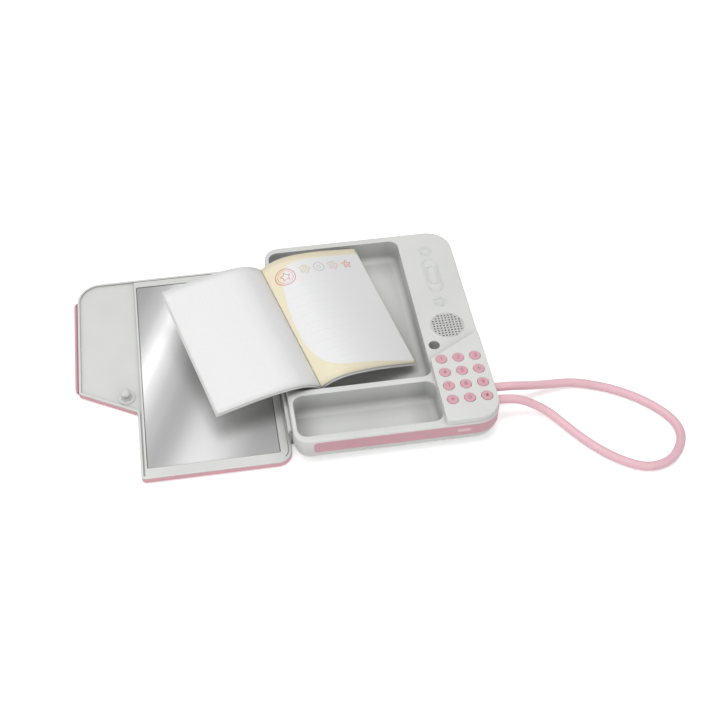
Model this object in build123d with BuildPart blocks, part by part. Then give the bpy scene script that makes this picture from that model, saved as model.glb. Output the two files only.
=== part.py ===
# Electronic secret diary: a flat casing with two open compartments, a keypad,
# a speaker and an electric latch, with a hinged lid that carries a mirror.
# Millimetres. The diary lies open: lid to the left, casing to the right.
# X runs from the lid to the keypad, Y from the front edge to the back edge,
# Z up. The origin is the centre of the casing's underside.
import os
from math import cos, pi, radians, sin, tan

from build123d import *

os.makedirs("parts", exist_ok=True)

# ---------------------------------------------------------------- casing
body_width = 143.0          # hinge side to keypad side
body_depth = 188.0          # front to back
body_height = 23.6          # table to the top of the deck
outer_corner = 18.0         # plan radius of the corners on the keypad side
hinge_corner = 11.0         # plan radius of the corners on the hinge side
top_round = 1.6             # rounding of the deck's outer edge
bottom_round = 8.5          # rounding under the base
pad_height = 1.4            # raised resting pad under the base
pad_inset = 10.5            # edge of that pad in from the casing's side
base_inset = 0.7            # base wall set in from the band
parting_height = 11.4       # joint between the base and the top casing
shell_wall = 1.6
skirt_wall = 2.3            # side wall of the top casing
deck_thickness = 1.8
seam = 0.1                  # gap left between two shells that meet

left = -body_width / 2
right = body_width / 2
front = -body_depth / 2
back = body_depth / 2
deck_under = body_height - deck_thickness

# ---------------------------------------------------------- compartments
well_wall = 1.2
well_floor = 4.4            # height of the compartments' floors
well_corner = 7.0
well_foot_round = 5.0       # rounding where the walls meet the floor
left_rim = 2.8              # width of the rim beside the hinge
front_rim = 5.1
back_rim = 5.8
bay_width = 40.3            # keypad side of the compartments, to the casing's side
lower_well_depth = 35.3
divider = 4.5               # width of the wall between the compartments

well_left = left + left_rim
well_right = right - bay_width
well_length = well_right - well_left
lower_front = front + front_rim
lower_back = lower_front + lower_well_depth
upper_front = lower_back + divider
upper_back = back - back_rim
bay_left = well_right + well_wall      # the electronics sit between these
bay_right = right - skirt_wall

# ------------------------------------------------------------- side band
band_bottom = parting_height + 0.3
band_top = 21.8
band_thickness = 0.9
band_start = 12.6           # where the band begins, from the hinge side
band_end_round = 2.4
sound_slot_length = 9.0
sound_slot_height = 2.2
sound_slot_from_panel = 12.1
sound_slot_depth = 0.5

# ---------------------------------------------------------------- keypad
key_pitch_x = 12.0
key_pitch_y = 12.2
key_radius = 3.9
key_gap = 0.25              # round each key in its hole
key_travel = 1.0
key_proud = 0.6             # a key stands this far above its panel
key_wall = 1.0
key_chamfer = 0.4
panel_raise = 4.2           # keypad panel above the deck
panel_plate = 1.8
panel_wall = 1.0
panel_past_well = 0.4       # panel's left wall past the compartments
panel_inset = 0.8           # panel wall in from the casing's side
panel_corner = 2.0
panel_round = 1.0
first_key_x = 7.4           # key 1 from the panel's left wall
last_key_y = 18.5           # bottom row from the casing's front
slant_start = 57.0          # slanted edge at the left wall, from the front
slant_angle = 29.2          # of that edge, to the front edge

panel_left = well_right + panel_past_well
sound_slot_x = panel_left + sound_slot_from_panel
panel_top = body_height + panel_raise
key_columns = [panel_left + first_key_x + i * key_pitch_x for i in range(3)]
key_rows = [front + last_key_y + (3 - j) * key_pitch_y for j in range(4)]
key_names = ["key_1", "key_2", "key_3", "key_4", "key_5", "key_6",
             "key_7", "key_8", "key_9", "key_star", "key_0", "key_hash"]
key_places = [(x, y) for y in key_rows for x in key_columns]

# --------------------------------------------------------------- speaker
speaker_x = panel_left + 19.6
speaker_y = front + slant_start + 32.9
grille_radius = 12.2
grille_thickness = 1.1
grille_pitch = 2.4
grille_hole = 0.75          # radius
grille_field = 11.0         # hole centres lie within this radius
grille_seat = 0.7           # ledge that carries the grille
speaker_radius = 12.5
magnet_radius = 6.0
speaker_height = 6.0

# ----------------------------------------------------------------- latch
latch_x = panel_left + 6.2
latch_y = front + slant_start + 15.3
latch_hole = 4.0            # radius
socket_wall = 0.8           # of the blind socket under the hole
socket_depth = 8.6          # from the top of the deck
post_radius = 3.4
post_height = 8.4
post_neck_radius = 1.8
post_neck_start = 3.2
post_neck_end = 4.8
post_foot_radius = 5.8
post_foot_height = 0.6
post_round = 1.6
bolt_thickness = 0.8
bolt_under_deck = 0.3
bolt_gap = 0.5              # open bolt to the post, when the lid is shut
bolt_width = 6.4
bolt_slot_gap = 0.4         # round the bolt in the socket's slot
bolt_length = 7.4
tang_drop = 4.0             # bolt turned down to meet the rod
rod_radius = 1.2
rod_length = 8.0
rod_gap = 0.06
solenoid_gap = 2.0          # tang to the solenoid, open
solenoid_length = 11.0
solenoid_width = 9.0
solenoid_height = 6.4
solenoid_chamfer = 1.0

# ----------------------------------------------------------------- hinge
hinge_out = 0.7             # hinge axis outside the casing's side
lid_thickness = 5.8         # lid on the table, up to its rim
closed_gap = 0.3            # between the rim and the deck when shut
barrel_radius = 2.2
barrel_gap = 0.35
pin_radius = 0.8
pin_gap = 0.05
knuckle_gap = 0.4
arm_length = 32.0
arm_pitch = 61.0
arm_thickness = 2.0
arm_out = 0.4               # outer face of an arm past the axis

hinge_x = left - hinge_out
hinge_z = (lid_thickness + body_height + closed_gap) / 2
arm_start = hinge_x - arm_out
arm_centres = [-arm_pitch, 0, arm_pitch]
knuckle_centres = [-arm_pitch / 2, arm_pitch / 2]
knuckle_length = arm_pitch - arm_length - 2 * knuckle_gap
pin_length = 2 * arm_pitch + arm_length

# ------------------------------------------------------------------- lid
lid_start = 0.6             # hinge side of the lid, out from the axis
lid_inset = 0.5             # shut lid in from the casing's free side
lid_back_inset = 0.4
rim_height = 0.8            # liner's flange, on the cover's wall
cover_floor = 1.8
cover_wall = 1.2
cover_round = 2.0
rim_width = 1.6
panel_recess = 1.2          # flap panel below the rim
flap_plate = 1.4
lid_corner = 10.5
notch_corner = 3.0
flap_corner = 3.0
notch_gap = 0.8             # shut lid to the keypad panel's wall
slant_gap = 1.2             # shut lid to the panel's slanted edge
flap_back_inset = 1.9
groove_inset = 2.0          # narrow groove round the mirror's frame
groove_width = 0.6
groove_from = 4.4           # from the front
lip_width = 2.7             # finger lip past the flap's free edge
lip_from = 83.5             # from the front
lip_to = body_depth - 17.0
lip_bottom = 1.6
lip_top = 3.8
lip_round = 1.2
mirror_free_side = panel_left - left - 3.8    # from the hinge side, outwards
mirror_hinge_side = 9.3
mirror_front = 8.4          # from the front
mirror_back = body_depth - 8.8
mirror_corner = 1.0
mirror_thickness = 1.2
mirror_pad_thickness = 0.8
mirror_seat_gap = 0.2
mirror_depth = 0.4          # mirror face below the rim

# the lid's plan is the casing's plan turned over about the hinge axis
lid_free = 2 * hinge_x - right + lid_inset
lid_notch = 2 * hinge_x - panel_left + notch_gap
lid_hinge_side = hinge_x - lid_start
lid_back = back - lid_back_inset
flange_under = lid_thickness - rim_height
flap_floor = lid_thickness - panel_recess
liner_inset = cover_wall + seam

# -------------------------------------------------------------- notebook
spine_x = left + 21.6       # front end of the open gutter
spine_y = front + 48.2
spine_z = 20.6
spine_yaw = 13.44           # turned against the casing, seen from above
spine_pitch = 6.0           # back end raised
spine_roll = 4.9            # keypad side lowered
page_width = 76.0
page_length = 113.0
page_thickness = 3.0        # one half's leaves
card_thickness = 0.5        # cover card
card_overhang = 0.8
gutter_gap = 0.2            # each half from the fold
# the leaves' surface over the chord, as shares of the width and heights
leaf_rise = [(0.08, 4.8), (0.30, 8.6), (0.62, 6.2)]

# --------------------------------------------------------------- insides
board_left = bay_left + 1.6
board_right = bay_right - 3.2
board_front = front + 12.0
board_back = latch_y - 12.3
board_thickness = 1.6
chip_size = 12.0
chip_thickness = 1.4
mat_thickness = 0.8
pad_radius = 2.5
pad_gap = 0.3
cell_radius = 5.25
cell_length = 44.5
cell_nub_radius = 1.9
cell_nub = 1.0
cell_pitch = 11.3
cell_x = bay_left + 14.1
cell_y = back - 53.5
cell_over_door = 0.3
cell_gap = 0.3
contact_thickness = 0.4
contact_height = 8.0
holder_wall = 1.2
door_thickness = 1.5
door_gap = 0.15
door_margin = 2.4           # door past the opening
door_tail = 6.0             # further past it at the screw
door_corner = 2.0
door_screw_from_end = 3.6
screw_places = [(bay_right - 11.7, latch_y - 8.8), (bay_right - 11.7, speaker_y + 15.6), (cell_x, back - 16.0)]
boss_radius = 3.0
boss_reach = 14.0           # screw's length
screw_radius = 1.0
screw_head_radius = 2.2
screw_head = 1.2
door_screw_reach = 4.0
door_boss_radius = 2.4
cross_width = 0.7
cross_length = 2.6
cross_depth = 0.6
microphone_radius = 3.0
microphone_length = 2.5
sound_hole = 0.45           # radius
sound_hole_pitch = 2.6

# ------------------------------------------------------------ wrist loop
cord_diameter = 6.2
cord_exit_z = (band_bottom + band_top) / 2
port_radius = 3.9
port_proud = 0.6
port_flange = 0.8
port_flange_radius = 4.3
cord_ports_y = [front + 33.3, front + 22.3]
cord_rest = cord_diameter / 2
cord_arc_share = 0.45
# where the loop's straight runs meet: from the casing's front right
# corner, and height above the table
cord_turns = [(11.0, 33.3, cord_exit_z), (27.5, 35.4, 11.4), (44.5, 38.6, 6.2),
              (62.0, 40.6, cord_rest), (84.0, 32.4, cord_rest), (101.6, 21.2, cord_rest),
              (114.8, 8.0, cord_rest), (122.8, -5.0, cord_rest), (122.8, -18.5, cord_rest),
              (114.6, -30.9, cord_rest), (105.0, -37.8, cord_rest), (91.8, -39.6, cord_rest),
              (79.6, -34.4, cord_rest), (66.6, -24.0, cord_rest), (54.6, -9.9, cord_rest),
              (45.2, 5.0, cord_rest), (36.4, 15.8, 5.6), (24.6, 21.4, 10.4), (11.5, 22.3, cord_exit_z)]


def at_left(x):
    """Distance from the casing's hinge side turned into X."""
    return left + x


def at_front(y):
    """Distance from the casing's front turned into Y."""
    return front + y


def casing_plan(inset=0.0):
    """The casing's plan outline, drawn inset from its side walls."""
    with BuildSketch() as plan:
        with Locations((0, 0)):
            Rectangle(body_width - 2 * inset, body_depth - 2 * inset)
        fillet(plan.vertices().group_by(Axis.X)[0], hinge_corner - inset)
        fillet(plan.vertices().group_by(Axis.X)[-1], outer_corner - inset)
    return plan.sketch


def well_plan(depth_from, depth_to, grow=0.0):
    """Plan of one compartment, grown by its wall when asked."""
    with BuildSketch() as plan:
        with Locations(((well_left + well_right) / 2, (depth_from + depth_to) / 2)):
            RectangleRounded(well_length + 2 * grow, depth_to - depth_from + 2 * grow, well_corner + grow)
    return plan.sketch


def well_block(y_from, y_to, top, grow=0.0):
    """One compartment as a block with a rounded foot, grown by its wall."""
    with BuildPart() as block:
        with BuildSketch(Plane.XY.offset(well_floor - grow)):
            add(well_plan(y_from, y_to, grow))
        extrude(amount=top - well_floor + grow)
        fillet(block.faces().sort_by(Axis.Z)[0].edges(), well_foot_round + grow)
    return block.part


def lid_slant(x):
    """Y of the lid's slanted edge: the keypad's, turned over, and a gap."""
    from_panel = 2 * hinge_x - x - panel_left
    return at_front(slant_start) + from_panel * tan(radians(slant_angle)) + slant_gap / cos(radians(slant_angle))


def lid_plan(inset=0.0):
    """The lid's plan outline, with its notch for the keypad."""
    corners = [(lid_hinge_side, front), (lid_notch, front), (lid_notch, lid_slant(lid_notch)),
               (lid_free, lid_slant(lid_free)), (lid_free, lid_back), (lid_hinge_side, lid_back)]
    rounds = [lid_corner, notch_corner, flap_corner, flap_corner, outer_corner, lid_corner]
    with BuildSketch() as plan:
        with BuildLine():
            Polyline(*corners, close=True)
        make_face()
        for (x, y), radius in zip(corners, rounds):
            fillet(plan.vertices().sort_by_distance((x, y))[0], radius)
        if inset:
            offset(amount=-inset, mode=Mode.REPLACE)
    return plan.sketch


wells = [(lower_front, lower_back), (upper_front, upper_back)]
port_places = [(y, cord_exit_z) for y in cord_ports_y]
sound_places = [(sound_slot_x + i * sound_hole_pitch, cord_exit_z) for i in (-1, 0, 1)]
opening_length = cell_length + 2 * cell_gap
opening_width = cell_pitch + 2 * cell_radius + 2 * cell_gap
base_floor = pad_height + shell_wall
door_back = cell_y + opening_length / 2 + door_margin + door_tail
door_front = cell_y - opening_length / 2 - door_margin
door_screw_y = door_back - door_screw_from_end

# The pink band is let into the side wall of the top casing, along the
# front, the keypad side and the back.
with BuildPart() as side_band:
    with BuildSketch(Plane.XY.offset(band_bottom)):
        add(casing_plan())
        add(casing_plan(band_thickness), mode=Mode.SUBTRACT)
        with Locations((left + band_start / 2, 0)):
            Rectangle(band_start, body_depth, mode=Mode.SUBTRACT)
    extrude(amount=band_top - band_bottom)
    band_ends = side_band.faces().filter_by(Axis.X).group_by(Axis.X)[0].edges().filter_by(Axis.Y)
    fillet(band_ends, band_end_round)
    with BuildSketch(Plane.YZ.offset(right - outer_corner)):
        with Locations(*port_places):
            Circle(port_radius)
    extrude(amount=2 * outer_corner, mode=Mode.SUBTRACT)
    band_blank = side_band.part
    with BuildSketch(Plane.XZ.offset(-front)):
        with Locations((sound_slot_x, cord_exit_z)):
            SlotOverall(sound_slot_length, sound_slot_height)
    extrude(amount=-sound_slot_depth, mode=Mode.SUBTRACT)
    with BuildSketch(Plane.XZ.offset(-front)):
        with Locations(*sound_places):
            Circle(sound_hole)
    extrude(amount=-skirt_wall, mode=Mode.SUBTRACT)
side_band.part.label = "side_band"

# The top casing: deck, side wall and the two compartments in one
# moulding, with the hinge knuckles on its left side.
arm_pocket = hinge_x + barrel_radius + barrel_gap - left
pocket_top = hinge_z + barrel_radius + barrel_gap
window_x = (key_columns[0] + key_columns[-1]) / 2
window_y = (key_rows[0] + key_rows[-1]) / 2
window_width = 2 * key_pitch_x + 2 * key_radius
window_depth = 3 * key_pitch_y + 2 * key_radius
with BuildPart() as top_casing:
    with BuildSketch(Plane.XY.offset(parting_height)):
        add(casing_plan())
    extrude(amount=body_height - parting_height)
    fillet(top_casing.faces().sort_by(Axis.Z)[-1].edges(), top_round)
    with BuildSketch(Plane.XY.offset(parting_height)):
        add(casing_plan(skirt_wall))
    extrude(amount=deck_under - parting_height, mode=Mode.SUBTRACT)
    with Locations(*[(hinge_x, y, hinge_z) for y in knuckle_centres]):
        Cylinder(barrel_radius, knuckle_length, rotation=(90, 0, 0))
    for y_from, y_to in wells:
        add(well_block(y_from, y_to, deck_under, well_wall))
    with BuildSketch(Plane.XY.offset(base_floor)):
        with Locations(*screw_places):
            Circle(boss_radius)
    extrude(amount=deck_under - base_floor)
    with Locations((latch_x, latch_y, deck_under)):
        Cylinder(latch_hole + socket_wall, socket_depth, align=(Align.CENTER, Align.CENTER, Align.MAX))
    add(band_blank, mode=Mode.SUBTRACT)
    with BuildSketch(Plane.XY.offset(base_floor)):
        with Locations(*screw_places):
            Circle(screw_radius)
    extrude(amount=boss_reach, mode=Mode.SUBTRACT)
    # window for the key mat, under the keypad panel
    with BuildSketch(Plane.XY.offset(deck_under)):
        with Locations((window_x, window_y)):
            Rectangle(window_width, window_depth)
    extrude(amount=deck_thickness, mode=Mode.SUBTRACT)
    # seat and sound opening of the speaker grille, and the latch's socket
    with Locations((speaker_x, speaker_y, body_height)):
        Cylinder(grille_radius, 2 * grille_thickness, mode=Mode.SUBTRACT)
        Cylinder(grille_radius - grille_seat, 2 * (deck_thickness + seam), mode=Mode.SUBTRACT)
    with Locations((latch_x, latch_y, body_height)):
        Cylinder(latch_hole, 2 * socket_depth, mode=Mode.SUBTRACT)
    with Locations((latch_x, latch_y, deck_under)):
        Box(latch_hole + 2 * socket_wall, bolt_width + 2 * bolt_slot_gap,
            bolt_under_deck + bolt_thickness + bolt_slot_gap, align=(Align.MIN, Align.CENTER, Align.MAX),
            mode=Mode.SUBTRACT)
    # cord ports and the microphone's sound holes through the side wall
    with BuildSketch(Plane.YZ.offset(right - outer_corner)):
        with Locations(*port_places):
            Circle(port_radius)
    extrude(amount=2 * outer_corner, mode=Mode.SUBTRACT)
    with BuildSketch(Plane.XZ.offset(-front)):
        with Locations(*sound_places):
            Circle(sound_hole)
    extrude(amount=-skirt_wall, mode=Mode.SUBTRACT)
    # clearance for the lid's hinge arms, below the rim
    with Locations(*[(left, y, pocket_top) for y in arm_centres]):
        Box(2 * arm_pocket, arm_length + 2 * knuckle_gap, pocket_top - parting_height, mode=Mode.SUBTRACT,
            align=(Align.CENTER, Align.CENTER, Align.MAX))
    with Locations((hinge_x, 0, hinge_z)):
        Cylinder(pin_radius, body_depth, rotation=(90, 0, 0), mode=Mode.SUBTRACT)
    for y_from, y_to in wells:
        add(well_block(y_from, y_to, body_height), mode=Mode.SUBTRACT)
top_casing.part.label = "top_casing"

# The base: a shallow dish under the top casing, on a resting pad, with the
# battery opening and the screw holes.
with BuildPart() as base_cavity:
    with BuildSketch(Plane.XY.offset(base_floor)):
        add(casing_plan(base_inset + shell_wall))
    extrude(amount=parting_height - base_floor)
    fillet(base_cavity.faces().sort_by(Axis.Z)[0].edges(), bottom_round - shell_wall)

with BuildPart() as base_shell:
    with BuildSketch(Plane.XY.offset(pad_height)):
        add(casing_plan(base_inset))
    extrude(amount=parting_height - pad_height)
    fillet(base_shell.faces().sort_by(Axis.Z)[0].edges(), bottom_round)
    with BuildSketch(Plane.XY):
        add(casing_plan(pad_inset))
    extrude(amount=pad_height)
    add(base_cavity.part, mode=Mode.SUBTRACT)
    with Locations((cell_x, door_screw_y, base_floor)):
        Cylinder(door_boss_radius, door_screw_reach, align=(Align.CENTER, Align.CENTER, Align.MIN))
    with Locations(*[(cell_x, cell_y + side * (opening_length / 2 + contact_thickness + holder_wall / 2), base_floor)
                     for side in (-1, 1)]):
        Box(opening_width, holder_wall, contact_height, align=(Align.CENTER, Align.CENTER, Align.MIN))
    for y_from, y_to in wells:
        add(well_block(y_from, y_to, body_height, well_wall + seam), mode=Mode.SUBTRACT)
    with BuildSketch(Plane.XY):
        with Locations((cell_x, (door_front + door_back) / 2)):
            RectangleRounded(opening_width + 2 * door_margin, door_back - door_front, door_corner)
    extrude(amount=door_thickness, mode=Mode.SUBTRACT)
    with BuildSketch(Plane.XY):
        with Locations((cell_x, cell_y)):
            Rectangle(opening_width, opening_length)
    extrude(amount=base_floor, mode=Mode.SUBTRACT)
    with Locations(*[(x, y, 0) for x, y in screw_places]):
        Cylinder(screw_head_radius, screw_head, align=(Align.CENTER, Align.CENTER, Align.MIN), mode=Mode.SUBTRACT)
        Cylinder(screw_radius, base_floor, align=(Align.CENTER, Align.CENTER, Align.MIN), mode=Mode.SUBTRACT)
    with Locations((cell_x, door_screw_y, 0)):
        Cylinder(screw_radius, door_screw_reach + screw_head, mode=Mode.SUBTRACT,
                 align=(Align.CENTER, Align.CENTER, Align.MIN))
    with Locations(*[(left, y, lid_thickness) for y in arm_centres]):
        Box(2 * (arm_start + arm_thickness + barrel_gap - left), arm_length + 2 * knuckle_gap, parting_height,
            align=(Align.CENTER, Align.CENTER, Align.MIN), mode=Mode.SUBTRACT)
base_shell.part.label = "base_shell"

# ------------------------------------------------------- keypad and keys
with BuildPart() as keypad_panel:
    with BuildSketch(Plane.XY.offset(body_height)) as panel_plan:
        add(casing_plan(panel_inset))
        with BuildLine():
            far = right + panel_inset
            slope = tan(radians(slant_angle))
            Polyline((panel_left, front), (far, front),
                     (far, at_front(slant_start) + (far - panel_left) * slope),
                     (panel_left, at_front(slant_start)), close=True)
        make_face(mode=Mode.INTERSECT)
        fillet(panel_plan.vertices().group_by(Axis.X)[0], panel_corner)
        fillet(panel_plan.vertices().sort_by(Axis.Y)[-1], panel_corner)
    extrude(amount=panel_raise)
    fillet(keypad_panel.faces().sort_by(Axis.Z)[-1].edges(), panel_round)
    with BuildSketch(Plane.XY.offset(body_height)):
        add(panel_plan.sketch)
        offset(amount=-panel_wall, mode=Mode.REPLACE)
    extrude(amount=panel_raise - panel_plate, mode=Mode.SUBTRACT)
    with BuildSketch(Plane.XY.offset(body_height)):
        with Locations(*key_places):
            Circle(key_radius + key_gap)
    extrude(amount=panel_raise, mode=Mode.SUBTRACT)
keypad_panel.part.label = "keypad_panel"

key_top = panel_top + key_proud
key_ceiling = key_top - key_wall
pad_top = key_ceiling - key_travel - pad_gap
key_bottom = deck_under + mat_thickness + key_travel + pad_gap
with BuildPart() as key:
    with BuildSketch(Plane.XY.offset(key_bottom)):
        Circle(key_radius)
    extrude(amount=key_top - key_bottom)
    chamfer(key.faces().sort_by(Axis.Z)[-1].edges(), key_chamfer)
    with BuildSketch(Plane.XY.offset(key_bottom)):
        Circle(key_radius - key_wall)
    extrude(amount=key_ceiling - key_bottom, mode=Mode.SUBTRACT)

keys = []
for name, (x, y) in zip(key_names, key_places):
    with BuildPart() as placed_key:
        with Locations((x, y, 0)):
            add(key.part)
    placed_key.part.label = name
    keys.append(placed_key.part)

with BuildPart() as key_mat:
    with BuildSketch(Plane.XY.offset(deck_under)):
        with Locations((window_x, window_y)):
            Rectangle(window_width - 2 * seam, window_depth - 2 * seam)
    extrude(amount=mat_thickness)
    with BuildSketch(Plane.XY.offset(deck_under)):
        with Locations(*key_places):
            Circle(pad_radius)
    extrude(amount=pad_top - deck_under)
key_mat.part.label = "key_mat"

# ------------------------------------------------------- circuit and cells
board_x = (board_left + board_right) / 2
board_y = (board_front + board_back) / 2
with BuildPart() as main_board:
    with Locations((board_x, board_y, deck_under)):
        Box(board_right - board_left, board_back - board_front, board_thickness,
            align=(Align.CENTER, Align.CENTER, Align.MAX))
main_board.part.label = "main_board"

with BuildPart() as controller_chip:
    with Locations((board_x, board_y, deck_under - board_thickness)):
        Box(chip_size, chip_size, chip_thickness, align=(Align.CENTER, Align.CENTER, Align.MAX))
    chamfer(controller_chip.faces().sort_by(Axis.Z)[0].edges(), chip_thickness / 4)
controller_chip.part.label = "controller_chip"

with BuildPart() as microphone:
    with BuildSketch(Plane.XZ.offset(-front - skirt_wall)):
        with Locations((sound_slot_x, cord_exit_z)):
            Circle(microphone_radius)
    extrude(amount=-microphone_length)
microphone.part.label = "microphone"

cell_z = door_thickness + cell_over_door + cell_radius
with BuildPart() as battery_cells:
    for side in (-1, 1):
        with BuildSketch(Plane.XZ.offset(-(cell_y - side * cell_length / 2))):
            with Locations((cell_x + side * cell_pitch / 2, cell_z)):
                Circle(cell_radius)
        extrude(amount=-side * (cell_length - cell_nub))
        with BuildSketch(Plane.XZ.offset(-(cell_y - side * cell_length / 2))):
            with Locations((cell_x + side * cell_pitch / 2, cell_z)):
                Circle(cell_nub_radius)
        extrude(amount=-side * cell_length)
battery_cells.part.label = "battery_cells"

with BuildPart() as battery_contacts:
    with Locations(*[(cell_x, cell_y + side * (opening_length + contact_thickness) / 2, base_floor)
                     for side in (-1, 1)]):
        Box(opening_width, contact_thickness, contact_height, align=(Align.CENTER, Align.CENTER, Align.MIN))
battery_contacts.part.label = "battery_contacts"

with BuildPart() as battery_door:
    with BuildSketch(Plane.XY):
        with Locations((cell_x, (door_front + door_back) / 2)):
            RectangleRounded(opening_width + 2 * door_margin - 2 * door_gap,
                             door_back - door_front - 2 * door_gap, door_corner - door_gap)
        with Locations((cell_x, door_screw_y)):
            Circle(screw_radius, mode=Mode.SUBTRACT)
    extrude(amount=door_thickness)
    with Locations((cell_x, door_screw_y, 0)):
        Cylinder(screw_head_radius, screw_head, align=(Align.CENTER, Align.CENTER, Align.MIN), mode=Mode.SUBTRACT)
battery_door.part.label = "battery_door"


def screw(reach):
    """A pan screw from the underside, head down, with a cross slot."""
    with BuildPart() as shape:
        Cylinder(screw_head_radius, screw_head, align=(Align.CENTER, Align.CENTER, Align.MIN))
        Cylinder(screw_radius, reach, align=(Align.CENTER, Align.CENTER, Align.MIN))
        Box(cross_length, cross_width, 2 * cross_depth, mode=Mode.SUBTRACT)
        Box(cross_width, cross_length, 2 * cross_depth, mode=Mode.SUBTRACT)
    return shape.part


with BuildPart() as case_screws:
    with Locations(*[(x, y, 0) for x, y in screw_places]):
        add(screw(boss_reach))
case_screws.part.label = "case_screws"

with BuildPart() as battery_door_screw:
    with Locations((cell_x, door_screw_y, 0)):
        add(screw(door_screw_reach + screw_head))
battery_door_screw.part.label = "battery_door_screw"

# ---------------------------------------------------------------- speaker
grille_cells = range(-4, 5)
grille_holes = [(i * grille_pitch, j * grille_pitch) for i in grille_cells for j in grille_cells
                if (i * grille_pitch) ** 2 + (j * grille_pitch) ** 2 < grille_field ** 2]
with BuildPart() as speaker_grille:
    with Locations((speaker_x, speaker_y, body_height - grille_thickness)):
        Cylinder(grille_radius - seam, grille_thickness - seam, align=(Align.CENTER, Align.CENTER, Align.MIN))
    with BuildSketch(Plane.XY.offset(body_height - grille_thickness)):
        with Locations((speaker_x, speaker_y)):
            with Locations(*grille_holes):
                Circle(grille_hole)
    extrude(amount=grille_thickness, mode=Mode.SUBTRACT)
speaker_grille.part.label = "speaker_grille"

speaker_rim = 1.0
cone_depth = 2.6
cone_throat = 3.6
with BuildPart() as speaker:
    with BuildSketch(Plane.XZ):
        with BuildLine():
            Polyline((0, -cone_depth), (cone_throat, -cone_depth), (speaker_radius - speaker_rim, 0),
                     (speaker_radius, 0), (speaker_radius, -speaker_rim), (magnet_radius, -cone_depth - speaker_rim),
                     (magnet_radius, -speaker_height), (0, -speaker_height), close=True)
        make_face()
    revolve(axis=Axis.Z)
speaker_placed = speaker.part.moved(Location((speaker_x, speaker_y, deck_under)))
speaker_placed.label = "speaker"

# ------------------------------------------------------------------ latch
bolt_top = deck_under - bolt_under_deck
bolt_start = latch_x + post_radius + bolt_gap
rod_z = bolt_top - tang_drop + rod_radius
solenoid_start = bolt_start + bolt_length + solenoid_gap
with BuildPart() as latch_bolt:
    with Locations((bolt_start, latch_y, bolt_top)):
        Box(bolt_length, bolt_width, bolt_thickness, align=(Align.MIN, Align.CENTER, Align.MAX))
    with Locations((bolt_start + bolt_length, latch_y, bolt_top)):
        Box(bolt_thickness, bolt_width, tang_drop, align=(Align.MAX, Align.CENTER, Align.MAX))
    with BuildSketch(Plane.YZ.offset(bolt_start + bolt_length)):
        with Locations((latch_y, rod_z)):
            Circle(rod_radius)
    extrude(amount=rod_length)
latch_bolt.part.label = "latch_bolt"

with BuildPart() as solenoid:
    with Locations((solenoid_start, latch_y, deck_under)):
        Box(solenoid_length, solenoid_width, solenoid_height, align=(Align.MIN, Align.CENTER, Align.MAX))
    with BuildSketch(Plane.YZ.offset(solenoid_start)):
        with Locations((latch_y, rod_z)):
            Circle(rod_radius + rod_gap)
    extrude(amount=solenoid_length, mode=Mode.SUBTRACT)
    chamfer(solenoid.edges().filter_by(Axis.X), solenoid_chamfer)
solenoid.part.label = "solenoid"

# -------------------------------------------------------------------- lid
with BuildPart() as lid_cover:
    with BuildSketch(Plane.XY):
        add(lid_plan())
    extrude(amount=flange_under)
    fillet(lid_cover.faces().sort_by(Axis.Z)[0].edges(), cover_round)
    with BuildSketch(Plane.XY.offset(lip_bottom)) as lip_plan:
        with Locations((lid_free, (at_front(lip_from) + at_front(lip_to)) / 2)):
            RectangleRounded(2 * lip_width, lip_to - lip_from, lip_width - seam)
    extrude(amount=lip_top - lip_bottom)
    with BuildSketch(Plane.XY.offset(cover_floor)):
        add(lid_plan(cover_wall))
    extrude(amount=lid_thickness, mode=Mode.SUBTRACT)
    with Locations(*[(lid_hinge_side, y, cover_floor) for y in arm_centres]):
        Box(4 * cover_wall, arm_length + 2 * seam, lid_thickness, mode=Mode.SUBTRACT,
            align=(Align.CENTER, Align.CENTER, Align.MIN))
lid_cover.part.label = "lid_cover"

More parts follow.
